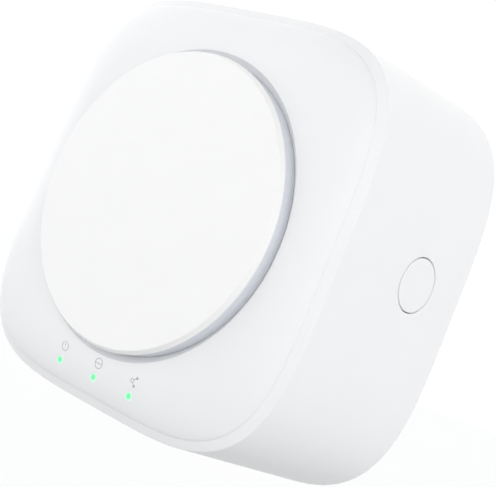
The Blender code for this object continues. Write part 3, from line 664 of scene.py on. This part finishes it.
def build_button(looks):
    """Cap flush with the side wall, with a rounded edge and a flange inside."""
    edge = 0.18
    bm = bmesh.new()
    shape = round_shape(BUTTON_RADIUS)

    def at(extra, x=None, lift=0.0):
        places = [(BUTTON_Y + across, BUTTON_Z + up) for across, up in shape(extra)]
        return [Vector((side_x(y, z) + lift if x is None else x, y, z)) for y, z in places]

    rings = [at(1.1, BUTTON_BACK_X), at(1.1, BUTTON_BACK_X + 1), at(0.0, BUTTON_BACK_X + 1)]
    rings += [at(-inset, lift=-y) for inset, y in reversed(round_corner(edge, 5))]
    rings += [at(-shrink, lift=0.0) for shrink in (0.6, 1.5, 2.6, 3.8, 4.7)]
    obj = solid("flush_button", loft(bm, rings))
    settle(obj, looks["button_white"], ["wps_button_cap"], "side_button")


# ---------------------------------------------------------------- lights and symbols


def build_lights(looks):
    """Three light pipes on one bar, each with a lit dome just proud of the panel."""
    low, high = box_mm("light_guide")[:2]
    bm = box(bmesh.new(), (low.x, -30.0, low.z), (high.x, -28.0, high.z))
    obj = solid("light_pipes", bm)
    stems = bmesh.new()
    for x in LIGHT_X:
        stem = [(LIGHT_RADIUS, pillow_y(x, LIGHT_Z) + 0.6), (LIGHT_RADIUS, high.y)]
        turned(stems, stem, Y, (x, 0, LIGHT_Z), 48)
    combine(obj, "UNION", stems)
    settle(obj, looks["light_pipe"], ["light_guide"])
    core = lit_tip("core", (0.08, 1.0, 0.26))
    rim = lit_tip("rim", (0.45, 0.92, 0.60))
    for name, x in zip(("left", "middle", "right"), LIGHT_X):
        panel_y = pillow_y(x, LIGHT_Z)
        turns = between(0.0, math.pi / 2, 9)
        path = [(LIGHT_RADIUS * math.sin(t), panel_y - LIGHT_PROUD * math.cos(t)) for t in turns]
        path += [(LIGHT_RADIUS, panel_y), (LIGHT_RADIUS, panel_y + 0.55)]
        dome = solid(f"light_tip_{name}", turned(bmesh.new(), path, Y, (x, 0, LIGHT_Z), 48))
        settle(dome, core)
        dome.data.materials.append(rim)
        for face in dome.data.polygons:
            away = math.hypot(face.center.x / MM - x, face.center.z / MM - LIGHT_Z)
            face.material_index = int(away > LIGHT_CORE)


def stroke(bm, points, closed=False):
    """A flat line of ink along points given as (x, z), with square ends."""
    rings = []
    for i, point in enumerate(points):
        before = points[i - 1] if closed or i else point
        after = points[(i + 1) % len(points)] if closed or i < len(points) - 1 else point
        along = Vector((after[0] - before[0], 0, after[1] - before[1])).normalized()
        across = along.cross(Y) * STROKE / 2
        middle = Vector((point[0], 0, point[1]))
        rings.append([middle + side + Y * y for side, y in corners_of(across)])
    return loft(bm, rings, closed)


def corners_of(across):
    return ((across, -INK_THICK), (-across, -INK_THICK), (-across, INK_DEEP), (across, INK_DEEP))


def arc(centre, radius, start, end, steps):
    """Points (x, z) on an arc, with its angles in degrees."""
    turns = [math.radians(start + (end - start) * i / steps) for i in range(steps + 1)]
    return [(centre[0] + radius * math.cos(t), centre[1] + radius * math.sin(t)) for t in turns]


def ink_dot(bm, centre, radius):
    return turned(bm, [(radius, -INK_THICK), (radius, INK_DEEP)], Y, (centre[0], 0, centre[1]), 32)


def power_symbol(x, z):
    bm = stroke(bmesh.new(), arc((x, z), 0.88, 128, 412, 48))
    return [bm, stroke(bmesh.new(), [(x, z + 0.15), (x, z + 0.6), (x, z + 1.05)])]


def globe_symbol(x, z):
    radius = 0.96
    ring = stroke(bmesh.new(), arc((x, z), radius, 0, 352.5, 47), closed=True)
    return [ring, stroke(bmesh.new(), [(x + radius * i / 6, z) for i in range(-6, 7)])]


def mesh_symbol(x, z):
    """A small ring with an arm to each of two dots."""
    hub = (x - 0.6, z + 0.1)
    shapes = [stroke(bmesh.new(), arc(hub, 0.36, 0, 345, 23), closed=True)]
    for across, up in ((1.05, 0.72), (0.72, -0.85)):
        away = Vector((across, up)).normalized() * 0.4
        start, end = (hub[0] + away.x, hub[1] + away.y), (hub[0] + across, hub[1] + up)
        middle = ((start[0] + end[0]) / 2, (start[1] + end[1]) / 2)
        shapes += [stroke(bmesh.new(), [start, middle, end]), ink_dot(bmesh.new(), end, 0.27)]
    return shapes


def build_symbols(looks):
    """A generic printed symbol over each status light, laid on the curved panel."""
    drawn = (("power", power_symbol), ("globe", globe_symbol), ("mesh", mesh_symbol))
    for (name, draw), x in zip(drawn, LIGHT_X):
        first, *others = draw(x + SYMBOL_SHIFT, SYMBOL_Z)
        obj = solid("symbol_" + name, first)
        for shape in others:
            combine(obj, "UNION", shape)
        for vertex in obj.data.vertices:
            vertex.co.y += pillow_y(vertex.co.x, vertex.co.z)
        settle(obj, looks["symbol_ink"])


# ---------------------------------------------------------------- back: cover, screws and plug


def build_rear_cover(looks):
    """Back plate with its posts, screw wells, vents, plug window and a blank label recess."""
    half, edge = COVER_HALF + 0.15, 0.4
    rings = [outline(half, REAR_POWER, -COVER_THICK), outline(half, REAR_POWER, -edge)]
    rings += [outline(half - inset, REAR_POWER, -y) for inset, y in reversed(round_corner(edge, 6))]
    obj = solid("back_plate", loft(bmesh.new(), rings))
    posts = bmesh.new()
    for x in (-24.0, 24.0):
        for z in (-11.0, 26.0):
            turned(posts, [(1.8, -5.8), (1.8, -COVER_THICK + 0.5)], Y, (x, 0, z), 48)
    combine(obj, "UNION", posts)
    wells, holes = bmesh.new(), bmesh.new()
    for place in corner_places(BOSS_PLACE):
        add_opening(wells, round_shape(2.7, 64), back_wall, place, 0.15, 1.5)
        turned(holes, [(COVER_SCREW_HOLE, -4.0), (COVER_SCREW_HOLE, 0.5)], Y, (place[0], 0, place[1]), 32)
    window = slot_shape(PLUG_WIDTH + 0.4, PLUG_HEIGHT + 0.4, PLUG_CORNER + 0.2)
    add_opening(wells, window, back_wall, (0.0, PLUG_Z), 0.2, 4.0)
    for i in range(4):
        z = PLUG_Z + COVER_VENT_STEP * (i - 1.5)
        for x in (-COVER_VENT_X, COVER_VENT_X):
            add_opening(wells, slot_shape(10.0, 1.2, 0.59), back_wall, (x, z), 0.2, 4.0)
    label = slot_shape(LABEL_WIDTH, LABEL_HEIGHT, 1.2)
    add_opening(wells, label, back_wall, (0.0, LABEL_Z), 0.08, 0.15)
    combine(obj, "DIFFERENCE", wells)
    combine(obj, "DIFFERENCE", holes)
    settle(obj, looks["shell_white"], ["rear_cover"])


def plug_ring(extra, y):
    corners = rounded_rectangle(PLUG_WIDTH + 2 * extra, PLUG_HEIGHT + 2 * extra, PLUG_CORNER + extra)
    return [Vector((x, y, PLUG_Z + z)) for x, z in corners]


def build_plug_block(looks):
    """Insulating block in the cover's window, with a flange behind the cover and a raised collar."""
    flange = -COVER_THICK - 0.3
    rings = [plug_ring(2.5, -4.0), plug_ring(2.5, flange), plug_ring(0.0, flange)]
    rings += [plug_ring(-inset, -y) for inset, y in reversed(round_corner(0.4, 5))]
    obj = solid("plug_block", loft(bmesh.new(), rings))
    bm = bmesh.new()
    for x in (-BLADE_X, BLADE_X):
        slot = slot_shape(BLADE_THICK + 0.12, BLADE_WIDTH + 0.12, 0.2)
        add_opening(bm, slot, back_wall, (x, PLUG_Z), 0.25, 6.0)
    combine(obj, "DIFFERENCE", bm)
    settle(obj, looks["plug_white"], ["plug_base"])


def build_blades(looks):
    """Flat blades with chamfered tips and eased edges, shoulders inside and a tail to the power board."""
    wide, tip = BLADE_WIDTH / 2, BLADE_TIP
    tail = [(-9.2, 1.5), (-5.6, 1.5), (-5.6, 4.4), (-4.3, 4.4), (-4.3, wide)]
    outer = tail + [(tip - 1.6, wide), (tip - 0.9, wide - 0.35), (tip, wide - 1.3)]
    corners = outer + [(y, -z) for y, z in reversed(outer)]
    for name, node, x in (("left", "plug_blade_left", -BLADE_X), ("right", "plug_blade_right", BLADE_X)):
        sides = (x - BLADE_THICK / 2, x + BLADE_THICK / 2)
        faces = [[(side, y, PLUG_Z + z) for y, z in corners] for side in sides]
        obj = solid(f"blade_{name}", loft(bmesh.new(), faces))
        hole = turned(bmesh.new(), [(1.6, x - 2), (1.6, x + 2)], X, (0, tip - 5.0, PLUG_Z), 64)
        combine(obj, "DIFFERENCE", hole)
        round_edges(obj, 0.18)
        settle(obj, looks["blade_nickel"], [node])


def build_cover_screws(looks):
    """Pan-head screws with a cross recess and a domed head."""
    shank = [(0.2, -11.6), (0.5, -11.5), (SCREW_RADIUS, -10.6), (SCREW_RADIUS, -1.2), (SCREW_HEAD, -1.2)]
    dome = [(SCREW_HEAD * math.cos(t), -0.75 + 0.6 * math.sin(t)) for t in between(0.0, math.pi / 2, 7)]
    for i, (x, z) in enumerate(corner_places(BOSS_PLACE)):
        path = shank + [(SCREW_HEAD, -0.75)] + dome
        obj = solid(f"pan_screw_{i + 1}", turned(bmesh.new(), path, Y, (x, 0, z), 64))
        cross = bmesh.new()
        for wide, high in ((1.25, 0.3), (0.3, 1.25)):
            lower = [(across * 0.6, up * 0.6) for across, up in square(wide, high)]
            rings = [[(x + across, -0.95, z + up) for across, up in lower]]
            rings.append([(x + across, 0.3, z + up) for across, up in square(wide, high)])
            loft(cross, rings)
        combine(obj, "DIFFERENCE", cross)
        settle(obj, looks["plated_steel"], [f"cover_screw_{i + 1}"])


def square(wide, high):
    return [(-wide, -high), (wide, -high), (wide, high), (-wide, high)]


# ---------------------------------------------------------------- network socket


def jack_ring(inset, z, radius=0.5):
    width, depth = JACK_SIZE.x - 2 * inset, JACK_SIZE.y - 2 * inset
    corners = rounded_rectangle(width, depth, max(radius - inset, 0.1), 4)
    return [Vector((JACK_X + x, JACK_Y + y, z)) for x, y in corners]


def build_jack(looks):
    """Metal shell, black insert and eight sprung contact wires, open downwards."""
    low, high = JACK_ENDS
    outside = [jack_ring(0.12, low), jack_ring(0.0, low + 0.12), jack_ring(0.0, high)]
    obj = solid("jack_shell", loft(bmesh.new(), outside))
    room = [jack_ring(0.55, low - 1.0), jack_ring(0.55, high - 0.6)]
    combine(obj, "DIFFERENCE", loft(bmesh.new(), room))
    settle(obj, looks["plated_steel"], ["lan_jack_shell"])
    front = low + 0.4
    block = [jack_ring(0.75, front), jack_ring(0.62, front + 0.13), jack_ring(0.62, high - 0.9)]
    insert = solid("jack_insert", loft(bmesh.new(), block))
    notch = ((5.9, -3.4), (5.9, 3.0), (3.1, 3.0), (3.1, 5.0))
    corners = list(notch) + [(-x, y) for x, y in reversed(notch)]
    ends = (low - 1.0, low + 15.0)
    combine(insert, "DIFFERENCE", loft(bmesh.new(), [[(x, JACK_Y + y, z) for x, y in corners] for z in ends]))
    round_edges(insert, 0.12)
    settle(insert, looks["black_plastic"], ["lan_jack_insert"])
    wires = bmesh.new()
    for i in range(8):
        add_contact(wires, WIRE_STEP * (i - 3.5), front)
    settle(solid("jack_contacts", wires), looks["blade_nickel"])


def add_contact(bm, x, front):
    """One contact wire: along the socket's floor, then sloping up to its deep end."""
    route = [(-3.25, 1.2), (-3.25, 2.6), (-3.0, 3.4), (-1.6, 7.5), (-0.7, 10.2), (-0.55, 11.4), (-0.7, 14.4)]
    return loft(bm, [circle((x, JACK_Y + y, front + z), Z, WIRE_RADIUS, 12) for y, z in route])


# ---------------------------------------------------------------- camera, light and floor


def direction(azimuth, elevation):
    """Unit vector towards a place in the studio. Azimuth 0 is in front of the object, 90 to its right."""
    turn, height = math.radians(azimuth), math.radians(elevation)
    across = math.cos(height)
    return Vector((math.sin(turn) * across, -math.cos(turn) * across, math.sin(height)))


def make_camera():
    back, roll = direction(VIEW_AZIMUTH, VIEW_ELEVATION), math.radians(VIEW_ROLL)
    level = Z.cross(back).normalized()
    upright = back.cross(level)
    right = level * math.cos(roll) + upright * math.sin(roll)
    up = upright * math.cos(roll) - level * math.sin(roll)
    data = bpy.data.cameras.new("camera")
    data.lens = VIEW_LENS
    data.clip_start = 0.01
    camera = bpy.data.objects.new("camera", data)
    place = (VIEW_TARGET + back * VIEW_DISTANCE) * MM
    camera.matrix_world = Matrix.Translation(place) @ Matrix((right, up, back)).transposed().to_4x4()
    bpy.context.scene.collection.objects.link(camera)
    bpy.context.scene.camera = camera


def make_world():
    """A white studio with soft patches of more and less light. The backdrop itself is plain white."""
    world = bpy.data.worlds.new("studio")
    bpy.context.scene.world = world
    world.use_nodes = True
    nodes, links = world.node_tree.nodes, world.node_tree.links
    nodes.clear()

    def math_node(operation, first, second=0.0):
        made = nodes.new("ShaderNodeMath")
        made.operation = operation
        for socket, value in zip(made.inputs, (first, second)):
            if isinstance(value, float):
                socket.default_value = value
            else:
                links.new(value, socket)
        return made.outputs["Value"]

    place = nodes.new("ShaderNodeTexCoord").outputs["Generated"]
    total = ROOM_LIGHT
    for azimuth, elevation, strength in FRONT_FILL + SIDE_AND_BACK + DARK_FLAGS:
        aim = nodes.new("ShaderNodeVectorMath")
        aim.operation = "DOT_PRODUCT"
        aim.inputs[1].default_value = direction(azimuth, elevation)
        links.new(place, aim.inputs[0])
        away = math_node("SUBTRACT", aim.outputs["Value"], 1.0)
        falloff = math_node("EXPONENT", math_node("MULTIPLY", away, LIGHT_TIGHTNESS))
        total = math_node("ADD", math_node("MULTIPLY", falloff, strength), total)
    light, backdrop = nodes.new("ShaderNodeBackground"), nodes.new("ShaderNodeBackground")
    for background in (light, backdrop):
        background.inputs["Color"].default_value = (1.0, 1.0, 1.0, 1.0)
    links.new(math_node("MAXIMUM", total), light.inputs["Strength"])
    backdrop.inputs["Strength"].default_value = BACKDROP_LIGHT
    seen, mix, output = (nodes.new("ShaderNode" + kind) for kind in ("LightPath", "MixShader", "OutputWorld"))
    links.new(seen.outputs["Is Camera Ray"], mix.inputs["Fac"])
    links.new(light.outputs["Background"], mix.inputs[1])
    links.new(backdrop.outputs["Background"], mix.inputs[2])
    links.new(mix.outputs["Shader"], output.inputs["Surface"])


def make_floor():
    """Plain pale floor well below the object, with a painted pool of shade: a little greyer beneath it, white
    further out.
    """
    bm = bmesh.new()
    bmesh.ops.create_grid(bm, x_segments=8, y_segments=8, size=FLOOR_SIZE)
    mesh = bpy.data.meshes.new("floor")
    bm.to_mesh(mesh)
    bm.free()
    floor = bpy.data.objects.new("floor", mesh)
    floor.location = FLOOR_PLACE
    bpy.context.scene.collection.objects.link(floor)
    made, shader = base_material("floor", (0.8, 0.8, 0.8), 0.9)
    place = made.node_tree.nodes.new("ShaderNodeTexCoord")
    length = made.node_tree.nodes.new("ShaderNodeVectorMath")
    length.operation = "LENGTH"
    link(made, place.outputs["Object"], length.inputs[0])
    # Painted shade: the floor's colour is greyer near the point beneath the object and fades to white further
    # out, which also dims the light bounced up onto the underside.
    ramp = made.node_tree.nodes.new("ShaderNodeValToRGB")
    ramp.color_ramp.interpolation = "EASE"
    for element, (position, value) in zip(ramp.color_ramp.elements, (FLOOR_PAINTED_SHADE, FLOOR_FAR)):
        element.position = position
        element.color = (*(value * share for share in FLOOR_TINT), 1.0)
    link(made, length.outputs["Value"], ramp.inputs["Fac"])
    link(made, ramp.outputs["Color"], shader.inputs["Base Color"])
    mesh.materials.append(made)


def main():
    bpy.context.scene.view_settings.view_transform = "Standard"
    make_camera()
    make_world()
    make_floor()
    looks = make_looks()
    dress_nodes(looks)
    front = (build_housing, build_panel, build_disc, build_trim_ring)
    controls = (build_button, build_lights, build_symbols)
    back = (build_rear_cover, build_plug_block, build_blades, build_cover_screws, build_jack)
    for build in front + controls + back:
        build(looks)


main()
